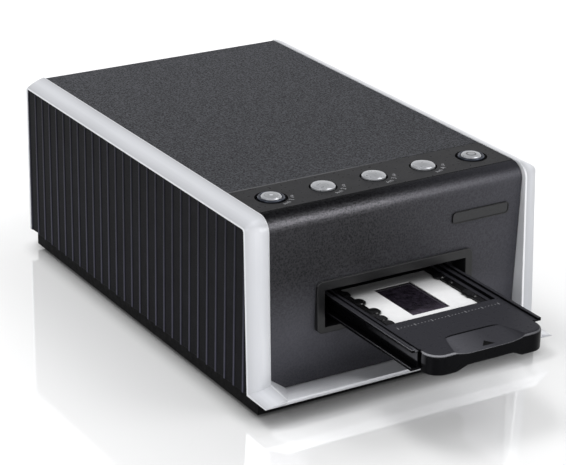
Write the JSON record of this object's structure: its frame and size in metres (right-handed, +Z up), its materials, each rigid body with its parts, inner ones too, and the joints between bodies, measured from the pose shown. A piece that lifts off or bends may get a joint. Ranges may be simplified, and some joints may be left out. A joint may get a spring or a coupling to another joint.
{
  "type": "film negative scanner",
  "caption": "Desktop scanner for framed slides and film, with a slatted housing between bevelled side bands, a button strip on top and a motor-fed slide holder in the front slot.",
  "frame": {"origin": "on the table, at the centre of the housing's footprint, on the lower face of the middle foot", "axes": "+X to the right as seen from the front, -Y out of the front towards the user, +Z up"},
  "size_m": [0.172, 0.3215, 0.101],
  "materials": {
    "silver_paint": "satin silver paint",
    "slat_black": "fine matte",
    "grain_charcoal": "fine grain",
    "grain_black": "leather grain",
    "strip_black": "smooth satin",
    "bezel_black": "smooth satin",
    "badge_black": "gloss",
    "sill_silver": "satin silver paint",
    "base_black": "matte",
    "foot_rubber": "matte",
    "steel": "satin",
    "button_silver": "satin metallic",
    "holder_black": "satin gloss",
    "clip_black": "gloss",
    "mount_white": "matte",
    "film_dark": "gloss",
    "chassis_grey": "matte",
    "bush_brass": "machined",
    "tyre_rubber": "matte",
    "gear_ivory": "satin",
    "motor_can": "satin",
    "board_green": "satin",
    "diffuser_white": "satin",
    "mirror": "polished",
    "lens_glass": "polished",
    "chip_dark": "matte",
    "port_metal": "satin"
  },
  "bodies": {
    "housing": {"left_frame": "silver_paint", "right_frame": "silver_paint", "left_side_panel": "slat_black", "right_side_panel": "slat_black", "top_cover": "grain_charcoal", "button_strip": "strip_black", "button_rings": "button_silver", "front_panel": "grain_black", "slot_bezel": "bezel_black", "badge_plate": "badge_black", "sill": "sill_silver", "base_tray": "base_black", "rear_panel": "grain_charcoal", "feet": "foot_rubber", "base_screws": "steel", "rear_screws": "steel", "chassis": "chassis_grey", "guide_rails": "base_black", "shaft_bushes": "bush_brass", "motor_bracket": "steel", "drive_motor": "motor_can", "lamp_housing": "base_black", "lamp_board": "board_green", "lamp_diffuser": "diffuser_white", "optics_bench": "base_black", "fold_mirror": "mirror", "lens_barrel": "bezel_black", "lens_glass": "lens_glass", "sensor_board": "board_green", "sensor_chip": "chip_dark", "main_board": "board_green", "board_standoffs": "bush_brass", "board_parts": "chip_dark", "usb_port": "port_metal", "dc_jack": "bezel_black", "button_board": "board_green", "button_switches": "chip_dark", "board_screws": "steel"},
    "holder": {"slide_holder": "holder_black", "clip_strips": "clip_black", "slide_mount": "mount_white", "film_chip": "film_dark"},
    "drive_roller_set": {"drive_shaft": "steel", "drive_rollers": "tyre_rubber", "roller_gear": "gear_ivory"},
    "pinch_roller_set": {"pinch_shaft": "steel", "pinch_rollers": "tyre_rubber"},
    "motor_rotor": {"motor_pinion": "bush_brass"},
    "press_1": {"button_1": "button_silver"},
    "press_2": {"button_2": "button_silver"},
    "press_3": {"button_3": "button_silver"},
    "press_4": {"button_4": "button_silver"},
    "press_5": {"button_5": "button_silver"}
  },
  "joints": [
    {"name": "holder_slide", "type": "slide", "parent": "housing", "child": "holder", "axis": [0, -1, 0], "range_m": [-0.05, 0.15]},
    {"name": "drive_shaft_spin", "type": "hinge", "parent": "housing", "child": "drive_roller_set", "pos_m": [0, -0.08, 0.034], "axis": [1, 0, 0], "range_deg": [-500, 1490]},
    {"name": "pinch_shaft_spin", "type": "hinge", "parent": "housing", "child": "pinch_roller_set", "pos_m": [0, -0.08, 0.0548], "axis": [1, 0, 0], "range_deg": [-2160, 730]},
    {"name": "motor_spin", "type": "hinge", "parent": "housing", "child": "motor_rotor", "pos_m": [0, -0.06, 0.034], "axis": [1, 0, 0], "range_deg": [-5960, 1990]},
    {"name": "button_1_press", "type": "slide", "parent": "housing", "child": "press_1", "axis": [0, 0, -1], "range_m": [0, 0.001], "stiffness_N_per_m": 400, "springref_m": -0.0005},
    {"name": "button_2_press", "type": "slide", "parent": "housing", "child": "press_2", "axis": [0, 0, -1], "range_m": [0, 0.001], "stiffness_N_per_m": 400, "springref_m": -0.0005},
    {"name": "button_3_press", "type": "slide", "parent": "housing", "child": "press_3", "axis": [0, 0, -1], "range_m": [0, 0.001], "stiffness_N_per_m": 400, "springref_m": -0.0005},
    {"name": "button_4_press", "type": "slide", "parent": "housing", "child": "press_4", "axis": [0, 0, -1], "range_m": [0, 0.001], "stiffness_N_per_m": 400, "springref_m": -0.0005},
    {"name": "button_5_press", "type": "slide", "parent": "housing", "child": "press_5", "axis": [0, 0, -1], "range_m": [0, 0.001], "stiffness_N_per_m": 400, "springref_m": -0.0005}
  ],
  "couplings": [
    {"joint": "drive_shaft_spin", "follows": "holder_slide", "rad_per_m": 172.41},
    {"joint": "pinch_shaft_spin", "follows": "holder_slide", "rad_per_m": -250},
    {"joint": "motor_spin", "follows": "holder_slide", "rad_per_m": -689.66}
  ]
}
